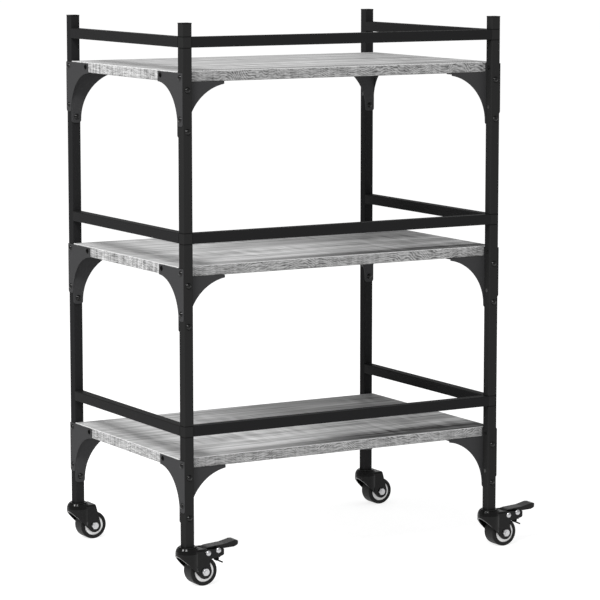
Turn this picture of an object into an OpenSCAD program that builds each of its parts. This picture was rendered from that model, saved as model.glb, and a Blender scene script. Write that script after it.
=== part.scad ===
// Three-tier kitchen island cart on four swivel casters, the front two with foot brakes.
// X runs along the long side, the railed long side faces -Y, and Z is up from the floor.

/* [Frame] */
// Width over the outer faces of the posts
frame_w = 530; // [440:10:700]
// Depth over the outer faces of the posts
frame_d = 372; // [320:2:480]
// Height from the floor to the top of the post caps
cart_h = 798.5; // [790:0.5:900]
// Side of the square steel tube
tube_w = 15; // [15:1:18]
// Wall of the square steel tube
tube_wall = 1.2; // [0.8:0.1:1.5]
// Outer corner radius of the tube
tube_corner = 1.5; // [0.8:0.1:2]

/* [Shelves] */
// Underside of the lowest shelf above the floor
first_shelf_z = 167.5; // [160:0.5:200]
// Height from one shelf to the next
tier_pitch = 274; // [240:1:274]
// Thickness of a shelf board
board_t = 15; // [15:1:18]
// Top of a guard rail above the underside of its shelf
rail_top_rise = 63.5; // [45:0.5:64]

/* [Gusset plates] */
// Thickness of the side plates, between the posts and the shelves
plate_t = 2; // [1.5:0.5:2]
// Thickness of the end plates, over the shelf's ends
end_plate_t = 0.8; // [0.6:0.1:1.5]
// Reach of a plate from the outer face of its post
plate_reach = 74; // [70:1:80]
// Length of an end plate below the shelf
end_drop = 61; // [60:0.5:64]
// Length of a side plate below the shelf
side_drop = 77.5; // [76:0.5:80]
// Width of the side plate's flange under the shelf
flange_w = 14; // [10:1:18]

/* [Casters] */
// Height of a caster, up to the lower end of its post
caster_h = 57.5; // [57.5:0.5:60]
// Radius of a wheel over its tread
wheel_r = 21; // [19:0.5:21]
// Width of the tread
tread_w = 25; // [20:0.5:25]
// Distance from the swivel axis back to the axle
caster_trail = 20.5; // [18:0.5:22]
// Travel of a brake pedal, for the clearance of its cam
brake_travel = 14; // [8:1:14]

/* [Hidden] */
$fn = 48;

steel_black = [0.11, 0.11, 0.12];
cap_black = [0.07, 0.07, 0.07];
zinc = [0.78, 0.78, 0.80];
grey_oak = [0.66, 0.66, 0.66];
core_white = [0.93, 0.93, 0.92];
tread_black = [0.08, 0.08, 0.08];

// Clearances: a bolt in its hole, a shaft that turns in a hole, and parts that only meet
bolt_gap = 0.2;
running_gap = 0.05;
seat_gap = 0.02;

post_x = frame_w / 2 - tube_w / 2;
post_y = frame_d / 2 - tube_w / 2;
cap_t = 1.5;
cap_w = tube_w + 0.4;
plug_w = tube_w - 2 * tube_wall - 0.2;
post_top = cart_h - cap_t;
board_d = frame_d - 2 * tube_w - 2 * plate_t;
rail_rise = rail_top_rise - tube_w / 2;

// Gusset outlines: the top of a plate above its shelf's underside, and the hollow quarter round
end_rise = board_t - 1.5;
end_arc_r = 60;
end_arc_drop = end_drop;
side_rise = board_t - 2;
side_arc_r = 70;
side_arc_drop = 73;
foot_r = 4;
flange_start = tube_w + 3;

// Fasteners of the frame
bolt_r = 3;
bolt_head_r = 4.3;
bolt_head_h = 3;
frame_nut_r = 5.2;
frame_nut_h = 4;
bolt_end = 0.3;
end_bolt_z = [7, -51];
side_bolt_z = [-10.5, -68.5];
screw_r = 1.75;
screw_head_r = 3.8;
screw_head_h = 2.4;
end_screw_u = 66;
end_screw_z = 8.2;
end_screw_len = 25;
flange_screw_v = [30, 60];
flange_screw_len = 11;

// Caster: heights from the floor, radii from the swivel axis
race_t = 1.7;
race_r = 12.5;
race_z = caster_h - race_t;
stem_r = 4;
stem_up = 24;
socket_h = 26;
rivet_head_z = 46.8;
rivet_head_h = 3;
rivet_head_r = 8;
ball_r = 1.5;
ball_count = 14;
ball_ring_r = 9.8;
bowl_floor_z = 52.3;
bowl_r = 13.5;
fork_t = 2;
fork_half_w = tread_w / 2 + 0.8 + fork_t;
fork_head_r = 17.5;
fork_rim_r = 14.4;
fork_rim_z = 56;
fork_shoulder_z = 48;
bridge_z = 53.6;
bridge_round = 3;
fork_boss_r = 10.5;
fork_lead = [-18, 45.4];
fork_tail = [22.5, 53.2];
axle = [caster_trail, wheel_r];
axle_r = 3;
axle_head_h = 4.2;
axle_nut_h = 3.4;
axle_nut_r = 5.77;
sleeve_r = 4;
tread_t = 5.9;
core_r = wheel_r - tread_t;
core_w = tread_w - 2;
hub_r = 6.5;
hub_w = 2 * (fork_half_w - fork_t) - 0.8;
tread_corner = 2.5;

// Brake: places are x from the swivel axis and z from the floor
pivot = [26.1, 47.3];
stop_rivet = [42.3, 49.8];
brake_rivet_r = 2.4;
brake_rivet_head_r = 4.1;
brake_rivet_head_h = 2.6;
pedal_half_w = 9.5;
pedal_t = 1.6;
pedal_eye_r = 4.8;
pedal_notch_x = pivot[0] - pedal_eye_r - 1;
cam_r = 2.2;
cam_out = 3.2;
cam_lead = brake_travel - atan2(pivot[0] - axle[0], pivot[1] - axle[1]);
pedal_nose_r = 7;
pedal_end_x = 80;
pedal_top = [
    [24, 51.7], [27.5, 54.6], [31, 55.4], [43, 56.2], [55, 57],
    [64, 58.9], [71, 60.5], [75.5, 60.2], [78.5, 58.4], [80, 55.6]
];
brake_ear = [
    [16, 50], [22.5, 53.2], [50.2, 51.9], [51, 51.1], [51, 43.8],
    [49.5, 42.1], [42, 40.2], [29.9, 38.4], [24, 34]
];
strap_t = 1;
strap_x = [38.6, 46];
strap_z = 39.2;
wire_r = 1.15;
coil_r = 2.3;
coil_pitch = 2;
coil_at = [46.4, 35];
tail_end = [56.8, 28];

// The overall box is centred on the origin, although the pedals stand out at one end only
cart_x = -(pedal_end_x - fork_head_r) / 2;

function shelf_z(tier) = first_shelf_z + tier * tier_pitch;
function turn(v, a) = [v[0] * cos(a) - v[1] * sin(a), v[0] * sin(a) + v[1] * cos(a)];
// Point where a line from p touches the circle at c; side is 1 or -1
function touch(p, c, r, side) =
    let (d = p - c, a = atan2(d[1], d[0]) + side * acos(r / norm(d))) c + r * [cos(a), sin(a)];

// ---- placing ----

module at_cart() translate([cart_x, 0, 0]) children();

// A shape drawn at the +X +Y corner, carried to another corner
module at_corner(sx, sy) {
    if (sx < 0 && sy < 0) mirror([1, 0, 0]) mirror([0, 1, 0]) children();
    else if (sx < 0) mirror([1, 0, 0]) children();
    else if (sy < 0) mirror([0, 1, 0]) children();
    else children();
}

module at_all_corners() for (sx = [-1, 1], sy = [-1, 1]) at_corner(sx, sy) children();

// A caster is drawn with its swivel axis on Z and its axle towards +X
module at_caster(sx, sy) at_cart() translate([sx * post_x, sy * post_y, 0]) children();

module along_y(x, z) translate([x, 0, z]) rotate([90, 0, 0]) children();

// ---- frame ----

module rounded_bar(w, r, l) {
    translate([r - w / 2, -w / 2, 0]) cube([w - 2 * r, w, l]);
    translate([-w / 2, r - w / 2, 0]) cube([w, w - 2 * r, l]);
    for (x = [-1, 1], y = [-1, 1])
        translate([x * (w / 2 - r), y * (w / 2 - r), 0]) cylinder(h = l, r = r);
}

module square_tube(l) {
    bore = tube_w - 2 * tube_wall;
    difference() {
        rounded_bar(tube_w, tube_corner, l);
        translate([-bore / 2, -bore / 2, -1]) cube([bore, bore, l + 2]);
    }
}

// The bolts' axes at one corner: end bolts run along X, side bolts along Y
module end_bolt_places(tier) for (dz = end_bolt_z)
    translate([frame_w / 2, post_y, shelf_z(tier) + dz]) rotate([0, 90, 0]) children();

module side_bolt_places(tier) for (dz = side_bolt_z)
    translate([post_x, frame_d / 2, shelf_z(tier) + dz]) rotate([-90, 0, 0]) children();

module bolt_hole(depth) translate([0, 0, -depth]) cylinder(h = depth + plate_t + 1, r = bolt_r + bolt_gap);

module post(sx, sy) color(steel_black) at_cart() at_corner(sx, sy) difference() {
    translate([post_x, post_y, caster_h]) square_tube(post_top - caster_h);
    for (tier = [0:2]) {
        end_bolt_places(tier) bolt_hole(tube_w + 1);
        side_bolt_places(tier) bolt_hole(tube_w + 1);
    }
}

module post_caps() color(cap_black) at_cart() at_all_corners() translate([post_x, post_y, post_top]) {
    rounded_bar(cap_w, tube_corner, cap_t);
    translate([-plug_w / 2, -plug_w / 2, -9]) cube([plug_w, plug_w, 9.5]);
}

module rail_front(tier) color(steel_black) at_cart()
    translate([tube_w - frame_w / 2, -post_y, shelf_z(tier) + rail_rise])
        rotate([0, 90, 0]) square_tube(frame_w - 2 * tube_w);

module rail_end(sx, tier) color(steel_black) at_cart()
    translate([sx * post_x, tube_w - frame_d / 2, shelf_z(tier) + rail_rise])
        rotate([-90, 0, 0]) square_tube(frame_d - 2 * tube_w);

module shelf(tier) color(grey_oak) at_cart() difference() {
    translate([-frame_w / 2, -board_d / 2, shelf_z(tier)]) cube([frame_w, board_d, board_t]);
    at_all_corners() {
        end_screw_place(tier) screw_hole(end_screw_len);
        flange_screw_places(tier) screw_hole(flange_screw_len + flange_screw_grip);
    }
}

// ---- gusset plates ----

// A plate's outline, seen with its post on the left and the shelf's underside at y = 0
module gusset_outline(rise, drop, arc_r, arc_drop) difference() {
    union() {
        translate([0, foot_r - drop]) square([plate_reach, drop + rise - foot_r]);
        translate([foot_r, -drop]) square([tube_w - 2 * foot_r, 2 * foot_r]);
        for (x = [foot_r, tube_w - foot_r]) translate([x, foot_r - drop]) circle(foot_r);
    }
    translate([tube_w + arc_r, -arc_drop]) circle(arc_r, $fn = 96);
    translate([tube_w, -drop - 1]) square([plate_reach, drop + 1 - arc_drop]);
}

module end_gusset(tier) difference() {
    translate([frame_w / 2, frame_d / 2, shelf_z(tier)]) rotate([90, 0, 90]) linear_extrude(end_plate_t)
        mirror([1, 0]) gusset_outline(end_rise, end_drop, end_arc_r, end_arc_drop);
    end_bolt_places(tier) bolt_hole(1);
    end_screw_place(tier) screw_hole(1);
}

// The side plate's arm stops at the shelf's underside; only its head beside the post goes higher
module side_outline() {
    gusset_outline(0, side_drop, side_arc_r, side_arc_drop);
    square([tube_w, side_rise]);
}

module side_gusset(tier) {
    face_y = frame_d / 2 - tube_w;
    difference() {
        union() {
            translate([frame_w / 2, face_y, shelf_z(tier)]) rotate([90, 0, 0]) linear_extrude(plate_t)
                mirror([1, 0]) side_outline();
            translate([frame_w / 2 - plate_reach, face_y - plate_t - flange_w, shelf_z(tier) - plate_t])
                cube([plate_reach - flange_start, flange_w + plate_t, plate_t]);
        }
        side_bolt_places(tier) bolt_hole(tube_w + plate_t + 1);
        flange_screw_places(tier) screw_hole(plate_t + 1);
    }
}

module end_gussets(tier) color(steel_black) at_cart() at_all_corners() end_gusset(tier);

module side_gussets(tier) color(steel_black) at_cart() at_all_corners() side_gusset(tier);

// ---- frame fasteners ----

module dome(r, h) {
    ball = (r * r + h * h) / (2 * h);
    rotate_extrude() intersection() {
        translate([0, h - ball]) circle(ball, $fn = 96);
        square([r + 1, h]);
    }
}

// A dome-head bolt with its seat at z = 0 and its shank going down
module dome_bolt(grip) {
    dome(bolt_head_r, bolt_head_h);
    translate([0, 0, -grip]) cylinder(h = grip + 0.5, r = bolt_r);
}

// The side bolts' heads all face the railed side: on the posts in front, on the plates at the back
module side_bolt(sy) {
    if (sy < 0) dome_bolt(tube_w + plate_t + bolt_end);
    else translate([0, 0, -tube_w - plate_t]) rotate([180, 0, 0]) dome_bolt(tube_w + plate_t + bolt_end);
}

module frame_bolts(tier) color(steel_black) at_cart() for (sx = [-1, 1], sy = [-1, 1]) at_corner(sx, sy) {
    end_bolt_places(tier) translate([0, 0, end_plate_t]) dome_bolt(tube_w + end_plate_t + bolt_end);
    side_bolt_places(tier) side_bolt(sy);
}

// A hexagon nut held inside the post, against the wall farther from the bolt's head
module frame_nut(z) translate([0, 0, z]) difference() {
    cylinder(h = frame_nut_h, r = frame_nut_r, $fn = 6);
    translate([0, 0, -1]) cylinder(h = frame_nut_h + 2, r = bolt_r + seat_gap);
}

module frame_nuts() color(steel_black) at_cart() for (sx = [-1, 1], sy = [-1, 1], tier = [0:2]) {
    inner = tube_wall + seat_gap - tube_w;
    outer = -tube_wall - seat_gap - frame_nut_h;
    at_corner(sx, sy) {
        end_bolt_places(tier) frame_nut(inner);
        side_bolt_places(tier) frame_nut(sy < 0 ? inner : outer);
    }
}

// Screws through the gusset plates into the shelf's end and underside
flange_screw_grip = plate_t;

module end_screw_place(tier)
    translate([frame_w / 2, frame_d / 2 - end_screw_u, shelf_z(tier) + end_screw_z])
        rotate([0, 90, 0]) children();

module flange_screw_places(tier) for (v = flange_screw_v)
    translate([frame_w / 2 - v, frame_d / 2 - tube_w - plate_t - flange_w / 2, shelf_z(tier) - plate_t])
        rotate([180, 0, 0]) children();

module screw_hole(depth) translate([0, 0, -depth])
    cylinder(h = depth + plate_t + 1, r = screw_r + running_gap, $fn = 24);

module screw(length, seat) translate([0, 0, seat]) {
    dome(screw_head_r, screw_head_h);
    translate([0, 0, -length]) cylinder(h = length + 0.5, r = screw_r, $fn = 24);
}

module shelf_screws() color(steel_black) at_cart() at_all_corners() for (tier = [0:2]) {
    end_screw_place(tier) screw(end_screw_len, end_plate_t);
    flange_screw_places(tier) screw(flange_screw_len, 0);
}

// ---- caster: the pieces that stay with the frame ----

module caster_sockets() color(cap_black) at_cart() at_all_corners()
    translate([post_x, post_y, caster_h]) difference() {
        translate([-plug_w / 2, -plug_w / 2, 0]) cube([plug_w, plug_w, socket_h]);
        translate([0, 0, -1]) cylinder(h = socket_h + 2, r = stem_r + seat_gap);
    }

module caster_stems() color(zinc) at_cart() at_all_corners() translate([post_x, post_y, 0]) {
    translate([0, 0, rivet_head_z]) cylinder(h = caster_h + stem_up - rivet_head_z, r = stem_r);
    translate([0, 0, race_z]) cylinder(h = race_t, r = race_r);
    translate([0, 0, rivet_head_z]) cylinder(h = rivet_head_h, r = rivet_head_r);
}

module caster_balls() color(zinc) at_cart() at_all_corners() translate([post_x, post_y, 0])
    for (i = [0:ball_count - 1])
        rotate([0, 0, i * 360 / ball_count])
            translate([ball_ring_r, 0, race_z - ball_r - seat_gap]) sphere(ball_r, $fn = 24);

// ---- caster: the fork ----

// Side view of a leg, from the domed head down to the round boss at the axle
module leg_outline() {
    lead_touch = touch(fork_lead, axle, fork_boss_r, 1);
    tail_touch = touch(fork_tail, axle, fork_boss_r, -1);
    polygon([
        fork_lead, [fork_lead[0], caster_h + 1], [fork_tail[0], caster_h + 1], fork_tail,
        tail_touch, axle, lead_touch
    ]);
    translate(axle) circle(fork_boss_r);
}

module fork_body() difference() {
    union() {
        cylinder(h = fork_shoulder_z, r = fork_head_r);
        rotate_extrude() polygon([
            [0, fork_shoulder_z - 1], [fork_head_r, fork_shoulder_z - 1], [fork_head_r, fork_shoulder_z],
            [fork_head_r - 0.5, fork_shoulder_z + 3], [fork_head_r - 1.5, fork_shoulder_z + 5.6],
            [fork_rim_r, fork_rim_z], [0, fork_rim_z]
        ]);
        translate([0, -fork_half_w, 0]) cube([40, 2 * fork_half_w, bridge_z - bridge_round]);
        translate([0, bridge_round - fork_half_w, 0]) cube([40, 2 * (fork_half_w - bridge_round), bridge_z]);
        for (y = [-1, 1]) translate([0, y * (fork_half_w - bridge_round), bridge_z - bridge_round])
            rotate([0, 90, 0]) cylinder(h = 40, r = bridge_round);
    }
    translate([0, 0, -1]) cylinder(h = bowl_floor_z - fork_t + 1, r = fork_head_r - fork_t);
    translate([0, fork_t - fork_half_w, -1])
        cube([50, 2 * (fork_half_w - fork_t), bowl_floor_z - fork_t + 1]);
    translate([0, 0, bowl_floor_z]) cylinder(h = 10, r = bowl_r);
    cylinder(h = 60, r = stem_r + 1.5);
}

module fork(braked) color(steel_black) difference() {
    union() {
        intersection() {
            fork_body();
            along_y(0, 0) translate([0, 0, -25]) linear_extrude(50) leg_outline();
        }
        if (braked) for (y = [fork_t - fork_half_w, fork_half_w])
            translate([0, y, 0]) along_y(0, 0) linear_extrude(fork_t) polygon(brake_ear);
    }
    along_y(axle[0], axle[1]) translate([0, 0, -25]) cylinder(h = 50, r = axle_r + running_gap);
    if (braked) {
        translate([pedal_notch_x, -pedal_half_w - 0.8, bowl_floor_z - fork_t - 1])
            cube([20, 2 * pedal_half_w + 1.6, 10]);
        along_y(pivot[0], pivot[1]) translate([0, 0, -25]) cylinder(h = 50, r = brake_rivet_r + seat_gap);
        along_y(stop_rivet[0], stop_rivet[1]) translate([0, 0, -25])
            cylinder(h = 50, r = brake_rivet_r + seat_gap);
    }
}

// ---- caster: axle and wheel ----

// A hexagon with its outer corners chamfered, seated at z = 0
module hexagon(h) intersection() {
    cylinder(h = h, r = axle_nut_r, $fn = 6);
    cylinder(h = h, r1 = axle_nut_r + 1.6, r2 = axle_nut_r - 0.8);
}

module axle_bolt() color(zinc) along_y(axle[0], axle[1]) {
    translate([0, 0, -fork_half_w]) cylinder(h = 2 * fork_half_w + axle_head_h, r = axle_r);
    translate([0, 0, -fork_half_w]) rotate([180, 0, 0]) hexagon(axle_head_h);
    difference() {
        translate([0, 0, fork_t - fork_half_w]) cylinder(h = 2 * (fork_half_w - fork_t), r = sleeve_r);
        translate([0, 0, -fork_half_w]) cylinder(h = 2 * fork_half_w, r = axle_r + running_gap);
    }
}

module axle_nut() color(zinc) along_y(axle[0], axle[1]) translate([0, 0, fork_half_w]) difference() {
    hexagon(axle_nut_h);
    translate([0, 0, -1]) cylinder(h = axle_nut_h + 2, r = axle_r + seat_gap);
}

module wheel_core() color(core_white) along_y(axle[0], axle[1]) difference() {
    union() {
        translate([0, 0, -core_w / 2]) cylinder(h = core_w, r = core_r);
        translate([0, 0, -hub_w / 2]) cylinder(h = hub_w, r = hub_r);
    }
    translate([0, 0, -hub_w]) cylinder(h = 2 * hub_w, r = sleeve_r + running_gap);
}

module tyre() color(tread_black) along_y(axle[0], axle[1]) rotate_extrude($fn = 96) {
    in_r = core_r + seat_gap;
    edge_r = wheel_r - tread_corner;
    flat_w = tread_w / 2 - tread_corner;
    translate([in_r, -tread_w / 2]) square([edge_r - in_r, tread_w]);
    translate([in_r, -flat_w]) square([wheel_r - in_r, 2 * flat_w]);
    for (y = [-flat_w, flat_w]) translate([edge_r, y]) circle(tread_corner, $fn = 32);
}

// ---- foot brake ----

// The pivot rivet goes right through; each stop rivet only holds the spring strap to its own ear
module brake_rivets() color(zinc) {
    along_y(pivot[0], pivot[1]) translate([0, 0, -fork_half_w])
        cylinder(h = 2 * fork_half_w, r = brake_rivet_r);
    for (side = [0, 1], at = [pivot, stop_rivet]) mirror([0, side, 0]) translate([at[0], -fork_half_w, at[1]])
        rotate([90, 0, 0]) {
            dome(brake_rivet_head_r, brake_rivet_head_h);
            if (at == stop_rivet) {
                shank = fork_t + strap_t + 0.2;
                translate([0, 0, -shank]) cylinder(h = shank + 0.5, r = brake_rivet_r);
                translate([0, 0, -shank - 0.8]) cylinder(h = 0.8, r = brake_rivet_r + 0.6);
            }
        }
}

// A U-shaped strap between the ears, with a wire loop and tail below it
module brake_spring() color(steel_black) {
    tab_y = fork_half_w - fork_t - 0.1;
    difference() {
        union() {
            translate([strap_x[0], -tab_y, strap_z])
                cube([strap_x[1] - strap_x[0], 2 * tab_y, strap_t]);
            for (y = [-tab_y, tab_y - strap_t])
                translate([strap_x[0], y, strap_z]) cube([strap_x[1] - strap_x[0], strap_t, 13.5]);
        }
        along_y(stop_rivet[0], stop_rivet[1]) translate([0, 0, -25])
            cylinder(h = 50, r = brake_rivet_r + seat_gap);
    }
    along_y(coil_at[0], coil_at[1]) for (i = [-1:1]) translate([0, 0, coil_pitch * i])
        rotate_extrude() translate([coil_r, 0]) circle(wire_r, $fn = 16);
    for (ends = [[coil_at + [-coil_r, 0], [43, strap_z + 0.4]], [coil_at + [0.6, -coil_r], tail_end]]) {
        run = ends[1] - ends[0];
        translate([ends[0][0], 0, ends[0][1]]) rotate([0, 90 - atan2(run[1], run[0]), 0])
            cylinder(h = norm(run), r = wire_r, $fn = 16);
    }
}

// Side view of the pedal's cheek, from its eye at the pivot to the raised toe
module cheek_outline() {
    polygon(concat(pedal_top, [[77, 53.6], [70, 51.2], [45, 50.5], [30, 44.6]]));
    translate(pivot) circle(pedal_eye_r);
}

// Side view of the pedal's top sheet; its last two points are on the toe, which turns down
module pedal_top_outline() {
    toe = len(pedal_top) - 2;
    polygon(concat(
        pedal_top,
        [for (i = [len(pedal_top) - 1:-1:0]) pedal_top[i] - (i < toe ? [0, pedal_t] : [pedal_t, 0.4])]
    ));
}

// Plan view of the pedal, with a rounded toe
module pedal_plan() {
    nose_x = pedal_end_x - pedal_nose_r;
    nose_y = pedal_half_w - pedal_nose_r;
    translate([15, -pedal_half_w]) square([nose_x - 15, 2 * pedal_half_w]);
    translate([nose_x - 1, -nose_y]) square([pedal_nose_r + 1, 2 * nose_y]);
    for (y = [-nose_y, nose_y]) translate([nose_x, y]) circle(pedal_nose_r);
}

module brake_pedal() color(steel_black) difference() {
    intersection() {
        union() {
            along_y(0, 0) translate([0, 0, -pedal_half_w]) linear_extrude(2 * pedal_half_w)
                pedal_top_outline();
            for (y = [pedal_t - pedal_half_w, pedal_half_w])
                translate([0, y, 0]) along_y(0, 0) linear_extrude(pedal_t) cheek_outline();
            along_y(pivot[0], pivot[1]) translate([0, 0, -pedal_half_w]) {
                cylinder(h = 2 * pedal_half_w, r = pedal_eye_r);
                translate(cam_out * turn([0, -1], cam_lead)) cylinder(h = 2 * pedal_half_w, r = cam_r);
            }
        }
        translate([0, 0, 30]) linear_extrude(40) pedal_plan();
    }
    along_y(pivot[0], pivot[1]) translate([0, 0, -25]) cylinder(h = 50, r = brake_rivet_r + running_gap);
}

// ---- one line for each node ----

post(-1, -1);  // post_front_left
post(1, -1);  // post_front_right
post(-1, 1);  // post_back_left
post(1, 1);  // post_back_right
post_caps();
rail_front(0);  // rail_front_lower
rail_front(1);  // rail_front_middle
rail_front(2);  // rail_front_upper
rail_end(-1, 0);  // rail_left_lower
rail_end(-1, 1);  // rail_left_middle
rail_end(-1, 2);  // rail_left_upper
rail_end(1, 0);  // rail_right_lower
rail_end(1, 1);  // rail_right_middle
rail_end(1, 2);  // rail_right_upper
shelf(0);  // shelf_lower
shelf(1);  // shelf_middle
shelf(2);  // shelf_upper
end_gussets(0);  // end_gussets_lower
end_gussets(1);  // end_gussets_middle
end_gussets(2);  // end_gussets_upper
side_gussets(0);  // side_gussets_lower
side_gussets(1);  // side_gussets_middle
side_gussets(2);  // side_gussets_upper
frame_bolts(0);  // frame_bolts_lower
frame_bolts(1);  // frame_bolts_middle
frame_bolts(2);  // frame_bolts_upper
frame_nuts();
shelf_screws();
caster_sockets();
caster_stems();
caster_balls();
at_caster(-1, -1) fork(true);  // fork_front_left
at_caster(1, -1) fork(true);  // fork_front_right
at_caster(-1, 1) fork(false);  // fork_back_left
at_caster(1, 1) fork(false);  // fork_back_right
at_caster(-1, -1) axle_bolt();  // axle_front_left
at_caster(1, -1) axle_bolt();  // axle_front_right
at_caster(-1, 1) axle_bolt();  // axle_back_left
at_caster(1, 1) axle_bolt();  // axle_back_right
at_caster(-1, -1) axle_nut();  // axle_nut_front_left
at_caster(1, -1) axle_nut();  // axle_nut_front_right
at_caster(-1, 1) axle_nut();  // axle_nut_back_left
at_caster(1, 1) axle_nut();  // axle_nut_back_right
at_caster(-1, -1) wheel_core();  // wheel_core_front_left
at_caster(1, -1) wheel_core();  // wheel_core_front_right
at_caster(-1, 1) wheel_core();  // wheel_core_back_left
at_caster(1, 1) wheel_core();  // wheel_core_back_right
at_caster(-1, -1) tyre();  // tyre_front_left
at_caster(1, -1) tyre();  // tyre_front_right
at_caster(-1, 1) tyre();  // tyre_back_left
at_caster(1, 1) tyre();  // tyre_back_right
at_caster(-1, -1) brake_rivets();  // brake_rivets_left
at_caster(1, -1) brake_rivets();  // brake_rivets_right
at_caster(-1, -1) brake_spring();  // brake_spring_left
at_caster(1, -1) brake_spring();  // brake_spring_right
at_caster(-1, -1) brake_pedal();  // brake_pedal_left
at_caster(1, -1) brake_pedal();  // brake_pedal_right
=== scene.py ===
import math

import bmesh
import bpy
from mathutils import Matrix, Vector


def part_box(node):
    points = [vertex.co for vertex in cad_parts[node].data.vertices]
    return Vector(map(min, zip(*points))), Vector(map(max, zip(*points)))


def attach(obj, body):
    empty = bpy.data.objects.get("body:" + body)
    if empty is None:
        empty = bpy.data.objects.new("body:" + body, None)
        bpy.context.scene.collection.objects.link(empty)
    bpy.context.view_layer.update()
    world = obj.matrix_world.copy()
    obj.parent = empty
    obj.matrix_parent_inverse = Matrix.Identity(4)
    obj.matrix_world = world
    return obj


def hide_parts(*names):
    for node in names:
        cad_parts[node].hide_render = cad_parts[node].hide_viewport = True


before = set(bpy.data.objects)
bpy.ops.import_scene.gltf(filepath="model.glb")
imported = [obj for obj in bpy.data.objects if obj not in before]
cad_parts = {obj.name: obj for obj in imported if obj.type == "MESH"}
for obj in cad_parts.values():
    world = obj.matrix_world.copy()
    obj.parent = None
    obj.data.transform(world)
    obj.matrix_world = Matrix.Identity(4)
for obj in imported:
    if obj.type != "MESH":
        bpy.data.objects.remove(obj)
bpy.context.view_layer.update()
TIERS = ("lower", "middle", "upper")

# Front posts: the coat's level and how much of it a seam line keeps, then in metres how far
# the seams lie beyond a rail's upper and lower edges, and the distances over which they fade
SEAMED_BLACK = 0.022
SEAM_SHADE = 0.2
SEAM_ABOVE = 0.0002
SEAM_BELOW = 0.0004
SEAM_FADE = (0.0003, 0.0007)

# Boards, in metres: the softened edge, the heights over which the painted light and shade
# change from one board to the next, and the line in Y that the front rail's painted shadow follows
BOARD_BEVEL = 0.0006
LOWER_GAP = (0.20, 0.44)
UPPER_GAP = (0.50, 0.70)
RAIL_SHADOW_Y = -0.168

# Studio: lamps stand above and to the left of the cart, and aim near its middle
FLOOR_WIDTH = 80
FLOOR_GLOW = 0.78
SKY_STRENGTH = 0.5
LAMP_AIM = (0, 0, 0.4)
LAMP_WIDTH = 0.8
LAMP_POWER = 66

# Camera: place in metres, lens in millimetres, angles in degrees
CAMERA_AT = (-2.136, -3.680, 0.9505)
CAMERA_LENS = 170.6
CAMERA_PITCH = 7.77
CAMERA_AZIMUTH = 30.13


# ---- materials ----

class Maker:
    """A Principled material and short ways to add nodes to it."""

    def __init__(self, name, color, roughness, specular=0.5, metallic=0.0):
        self.mat = bpy.data.materials.new(name)
        self.mat.use_nodes = True
        self.tree = self.mat.node_tree
        self.shader = self.tree.nodes["Principled BSDF"]
        self.set("Base Color", (*color, 1))
        self.set("Roughness", roughness)
        self.set("Specular IOR Level", specular)
        self.set("Metallic", metallic)

    def set(self, socket, value):
        self.shader.inputs[socket].default_value = value

    def link(self, source, target):
        self.tree.links.new(source, target)

    def put(self, source, node, socket):
        if isinstance(source, (int, float, tuple)):
            node.inputs[socket].default_value = source
        else:
            self.link(source, node.inputs[socket])

    def place(self, scale, offset=(0, 0, 0), turn=(0, 0, 0)):
        """Object coordinates, scaled for a texture."""
        coord = self.tree.nodes.new("ShaderNodeTexCoord")
        mapping = self.tree.nodes.new("ShaderNodeMapping")
        mapping.inputs["Scale"].default_value = scale
        mapping.inputs["Location"].default_value = offset
        mapping.inputs["Rotation"].default_value = turn
        self.link(coord.outputs["Object"], mapping.inputs["Vector"])
        return mapping.outputs["Vector"]

    def noise(self, vector, scale=1.0, detail=3.0, roughness=0.5, distortion=0.0):
        node = self.tree.nodes.new("ShaderNodeTexNoise")
        self.link(vector, node.inputs["Vector"])
        node.inputs["Scale"].default_value = scale
        node.inputs["Detail"].default_value = detail
        node.inputs["Roughness"].default_value = roughness
        node.inputs["Distortion"].default_value = distortion
        return node.outputs["Fac"]

    def math(self, kind, a, b=0.0, c=0.0):
        node = self.tree.nodes.new("ShaderNodeMath")
        node.operation = kind
        for i, v in enumerate((a, b, c)):
            self.put(v, node, i)
        return node.outputs[0]

    def span(self, value, low, high, to_low=0.0, to_high=1.0):
        """Maps a value smoothly from one range to another."""
        node = self.tree.nodes.new("ShaderNodeMapRange")
        node.interpolation_type = "SMOOTHSTEP"
        self.link(value, node.inputs["Value"])
        for key, v in zip(("From Min", "From Max", "To Min", "To Max"), (low, high, to_low, to_high)):
            node.inputs[key].default_value = v
        return node.outputs["Result"]

    def axis(self, vector, letter):
        node = self.tree.nodes.new("ShaderNodeSeparateXYZ")
        self.link(vector, node.inputs[0])
        return node.outputs[letter]

    def grey(self, value):
        node = self.tree.nodes.new("ShaderNodeCombineColor")
        for i in range(3):
            self.link(value, node.inputs[i])
        return node.outputs[0]

    def bump(self, height, strength, distance):
        node = self.tree.nodes.new("ShaderNodeBump")
        node.inputs["Strength"].default_value = strength
        node.inputs["Distance"].default_value = distance
        self.link(height, node.inputs["Height"])
        self.link(node.outputs["Normal"], self.shader.inputs["Normal"])


def coated(name, color, gloss, specular, scale, strength, metallic=0.0):
    """A smooth material whose gloss is a little uneven, with a fine surface texture."""
    m = Maker(name, color, gloss[0], specular, metallic)
    grain = m.noise(m.place((1, 1, 1)), scale, 3)
    m.link(m.span(grain, 0.3, 0.7, *gloss), m.shader.inputs["Roughness"])
    m.bump(grain, strength, 0.0001)
    return m


def powder(name, level, roughness=0.45, specular=0.02):
    """Black powder coat with a very fine texture."""
    m = Maker(name, (level, level, level * 1.03), roughness, specular)
    grain = m.noise(m.place((1, 1, 1)), 900, 2)
    m.bump(grain, 0.12, 0.0002)
    return m


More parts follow.
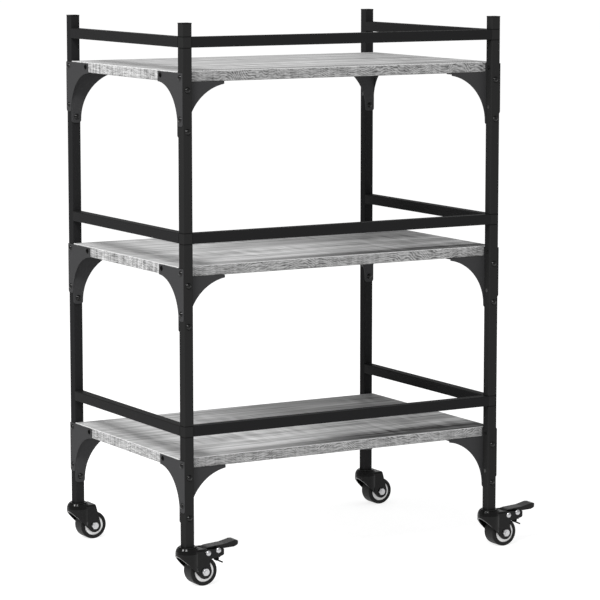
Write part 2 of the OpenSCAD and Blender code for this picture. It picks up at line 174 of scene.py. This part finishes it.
frame_black = powder("frame black", 0.020, 0.5, 0.0)
rail_black = powder("rail black", 0.015)
plate_black = powder("plate black", 0.042, 0.5, 0.03)
bolt_black = coated("bolt black", (0.002, 0.002, 0.002), (0.13, 0.22), 0.30, 700, 0.03)
screw_black = coated("screw black", (0.001, 0.001, 0.001), (0.32, 0.46), 0.05, 700, 0.03)
cap_black = coated("cap plastic", (0.006, 0.006, 0.006), (0.42, 0.58), 0.12, 1100, 0.15)
fork_black = coated("fork paint", (0.004, 0.004, 0.004), (0.13, 0.19), 0.17, 260, 0.04)
spring_black = coated("spring", (0.003, 0.003, 0.003), (0.28, 0.42), 0.08, 600, 0.05)
tread = coated("tread", (0.010, 0.010, 0.010), (0.42, 0.58), 0.12, 900, 0.18)
core = coated("wheel core", (0.80, 0.80, 0.80), (0.30, 0.42), 0.5, 500, 0.06)
zinc = coated("zinc", (0.50, 0.50, 0.51), (0.22, 0.36), 0.5, 420, 0.08, 0.85)


def seamed():
    """The front posts' coat, with fine seam lines at the rails' upper and lower edges."""
    m = powder("seamed black", SEAMED_BLACK, 0.5, 0.0)
    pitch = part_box("shelf_middle")[0][2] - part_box("shelf_lower")[0][2]
    rail_low, rail_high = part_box("rail_front_lower")
    seams = (rail_high[2] + SEAM_ABOVE, rail_low[2] - SEAM_BELOW)
    height = m.math("MODULO", m.axis(m.place((1, 1, 1)), "Z"), pitch)
    upper, lower = (m.math("ABSOLUTE", m.math("SUBTRACT", height, z % pitch)) for z in seams)
    seam = m.span(m.math("MINIMUM", upper, lower), *SEAM_FADE, SEAM_SHADE, 1.0)
    m.link(m.grey(m.math("MULTIPLY", seam, SEAMED_BLACK)), m.shader.inputs["Base Color"])
    return m


seam_black = seamed()


def wood_face():
    """Grey oak decor, its grain along X, with the front rail's shadow and the shade of the boards above
    painted in.
    """
    m = Maker("oak face", (0.5, 0.5, 0.5), 0.5, 0.25)
    place = m.place((1, 1, 1))
    x, y = m.axis(place, "X"), m.axis(place, "Y")
    wave = m.noise(m.place((2.2, 9, 0)), 1, 2)
    broad = m.noise(m.place((1.6, 26, 0), (0.3, 0, 0)), 1, 3, 0.55, 0.6)
    streak = m.noise(m.place((5, 130, 0)), 1, 4, 0.6, 0.5)
    fibre = m.noise(m.place((22, 700, 0)), 1, 2, 0.6)
    ripple = m.noise(m.place((75, 9, 0), (0, 0, 0), (0, 0, math.radians(-28))), 1, 2, 0.5, 0.5)
    where = m.span(m.noise(m.place((5, 11, 0), (0.8, 0.2, 0)), 1, 1), 0.42, 0.62)
    tone = m.math("ADD", m.span(broad, 0.32, 0.68, 0.74, 1.10), m.span(streak, 0.34, 0.66, -0.33, 0.19))
    tone = m.math("ADD", tone, m.span(fibre, 0.3, 0.7, -0.07, 0.06))
    tone = m.math("ADD", tone, m.math("MULTIPLY", where, m.span(ripple, 0.34, 0.66, -0.19, 0.15)))
    # Painted shadow of the front rail: a dark band near the front edge, from the middle of the board to its
    # right end, darkest on the two lower boards
    line = m.math("MULTIPLY_ADD", wave, 0.04, m.math("MULTIPLY_ADD", x, -0.02, RAIL_SHADOW_Y))
    z = m.axis(place, "Z")
    rail_shadow_distance = m.math("ABSOLUTE", m.math("SUBTRACT", y, line))
    rail_shadow_distance = m.math("DIVIDE", rail_shadow_distance, m.span(z, *LOWER_GAP, 0.040, 0.024))
    band = m.math("MULTIPLY", m.span(rail_shadow_distance, 0.15, 1.0, 1.0, 0.0), m.span(x, -0.14, 0.05))
    tone = m.math("SUBTRACT", tone, m.math("MULTIPLY", band, m.span(z, *UPPER_GAP, 0.74, 0.22)))
    # Painted light and shade: the two lower boards, shaded by the board above, darken towards their
    # right end and are painted lighter at their left end; the top one stays light and is painted a little
    # lighter
    shaded_boards = m.span(z, *UPPER_GAP, 1.0, 0.0)
    tone = m.math("MULTIPLY_ADD", m.span(x, -0.22, 0.26, 0.10, -0.15), shaded_boards, tone)
    tone = m.math("ADD", tone, m.span(z, *UPPER_GAP, 0.0, 0.07))
    m.link(m.grey(m.math("MULTIPLY", tone, 0.53)), m.shader.inputs["Base Color"])
    m.bump(streak, 0.10, 0.0004)
    return m


def wood_edge(name, level, upright):
    """The edge band, whose printed grain leans one way and then the other, with upright flecks."""
    m = Maker(name, (0.35, 0.35, 0.35), 0.5, 0.2)
    place = m.place((1, 1, 1))
    along = m.math("ADD", m.axis(place, "X"), m.axis(place, "Y"))
    bend = m.noise(m.place((12, 34, 5)), 1, 3, 0.5)
    wander = m.noise(m.place((110, 110, 420)), 1, 3, 0.6)
    phase = m.math("MULTIPLY_ADD", m.axis(place, "Z"), 1900, m.math("MULTIPLY", bend, 210))
    phase = m.math("MULTIPLY_ADD", along, 240, m.math("MULTIPLY_ADD", wander, 9, phase))
    lines = m.math("SINE", phase)
    pore = m.noise(m.place((60, 60, 520), (0, 0, 0), (0, math.radians(12), 0)), 1, 4, 0.65)
    depth = m.span(m.noise(m.place((16, 16, 60), (0.5, 0, 0)), 1, 2), 0.35, 0.65, 0.35, 1.0)
    tone = m.math("MULTIPLY_ADD", m.math("MULTIPLY", lines, depth), 0.38, 0.86)
    tone = m.math("ADD", tone, m.span(pore, 0.34, 0.66, -0.36, 0.26))
    fleck = m.noise(m.place((230, 230, 12)), 1, 3, 0.6)
    tone = m.math("ADD", tone, m.span(fleck, 0.36, 0.64, -upright, upright))
    m.link(m.grey(m.math("MULTIPLY", tone, level)), m.shader.inputs["Base Color"])
    return m


oak_face = wood_face()
oak_edge = wood_edge("oak edge", 0.345, 0.10)
# Painted light: the board ends are painted lighter than the front and back edges; their upright flecks are
# grain
oak_end_painted_light = wood_edge("oak end painted light", 0.43, 0.26)
# Painted highlight: the upward bevels of the boards are painted near white
oak_painted_highlight = Maker("oak arris painted highlight", (0.80, 0.80, 0.80), 0.4, 0.3)
# Painted shade: the downward bevels of the boards are painted dark
oak_painted_shade = Maker("oak lower arris painted shade", (0.12, 0.12, 0.12), 0.5, 0.2)


# ---- CAD nodes that are shown as they are ----

LOOKS = {
    "post_front": seam_black, "post_back": frame_black, "post_caps": cap_black, "rail": rail_black,
    "end_gussets": plate_black, "side_gussets": plate_black, "frame_bolts": bolt_black,
    "frame_nuts": bolt_black, "shelf_screws": screw_black, "caster_sockets": cap_black,
    "caster_stems": fork_black, "caster_balls": zinc, "fork": fork_black, "axle": zinc,
    "wheel_core": core, "tyre": tread, "brake_rivets": zinc, "brake_spring": spring_black,
    "brake_pedal": fork_black,
}


def paint(piece, look):
    piece.data.materials.clear()
    piece.data.materials.append(look.mat)


for name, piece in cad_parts.items():
    for start, look in LOOKS.items():
        if name.startswith(start):
            paint(piece, look)


# ---- shelf boards with softened edges ----

BOARD_LOOKS = (oak_face, oak_edge, oak_painted_highlight, oak_painted_shade, oak_end_painted_light)


def board_look(normal):
    """The look of a face of a board, by the way it faces."""
    if abs(normal.z) > 0.99:
        return oak_face
    if abs(normal.x) > 0.99:
        return oak_end_painted_light
    if abs(normal.y) > 0.99:
        return oak_edge
    # Upward bevels take the painted highlight, downward bevels the painted shade
    return oak_painted_highlight if normal.z > 0.1 else oak_painted_shade


def board(tier):
    node = f"shelf_{tier}"
    low, high = (Vector(v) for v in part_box(node))
    made = bmesh.new()
    bmesh.ops.create_cube(made, size=1)
    for corner in made.verts:
        corner.co = Vector((a + (b - a) * (c + 0.5) for a, b, c in zip(low, high, corner.co)))
    bmesh.ops.bevel(made, geom=list(made.edges), offset=BOARD_BEVEL, segments=2, profile=0.5, affect="EDGES")
    for face in made.faces:
        face.material_index = BOARD_LOOKS.index(board_look(face.normal))
    mesh = bpy.data.meshes.new(f"board_{tier}")
    made.to_mesh(mesh)
    made.free()
    piece = bpy.data.objects.new(f"board_{tier}", mesh)
    bpy.context.collection.objects.link(piece)
    for look in BOARD_LOOKS:
        mesh.materials.append(look.mat)
    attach(piece, "frame")
    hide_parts(node)


for tier in TIERS:
    board(tier)


# ---- floor, light and camera ----

bpy.ops.mesh.primitive_plane_add(size=FLOOR_WIDTH)
floor = bpy.context.object
floor.name = "floor"
floor_white = Maker("floor", (0.5, 0.5, 0.5), 0.9, 0.0)
floor_white.set("Emission Color", (1, 1, 1, 1))
floor_white.set("Emission Strength", FLOOR_GLOW)
paint(floor, floor_white)

world = bpy.data.worlds.new("studio")
world.use_nodes = True
world.node_tree.nodes["Background"].inputs["Color"].default_value = (1, 1, 1, 1)
world.node_tree.nodes["Background"].inputs["Strength"].default_value = SKY_STRENGTH
bpy.context.scene.world = world


def lamp(name, at):
    data = bpy.data.lights.new(name, "AREA")
    data.shape = "SQUARE"
    data.size = LAMP_WIDTH
    data.energy = LAMP_POWER
    light = bpy.data.objects.new(name, data)
    light.location = at
    light.rotation_euler = (Vector(LAMP_AIM) - Vector(at)).to_track_quat("-Z", "Y").to_euler()
    bpy.context.collection.objects.link(light)


lamp("key", (-1.97, -1.97, 3.28))
lamp("side", (-2.96, -0.26, 3.08))

camera = bpy.data.objects.new("camera", bpy.data.cameras.new("camera"))
camera.data.lens = CAMERA_LENS
camera.data.clip_end = 200
camera.location = CAMERA_AT
camera.rotation_euler = (math.radians(90 - CAMERA_PITCH), 0, math.radians(-CAMERA_AZIMUTH))
bpy.context.collection.objects.link(camera)
bpy.context.scene.camera = camera
bpy.context.scene.view_settings.view_transform = "Standard"
bpy.context.scene.view_settings.look = "None"
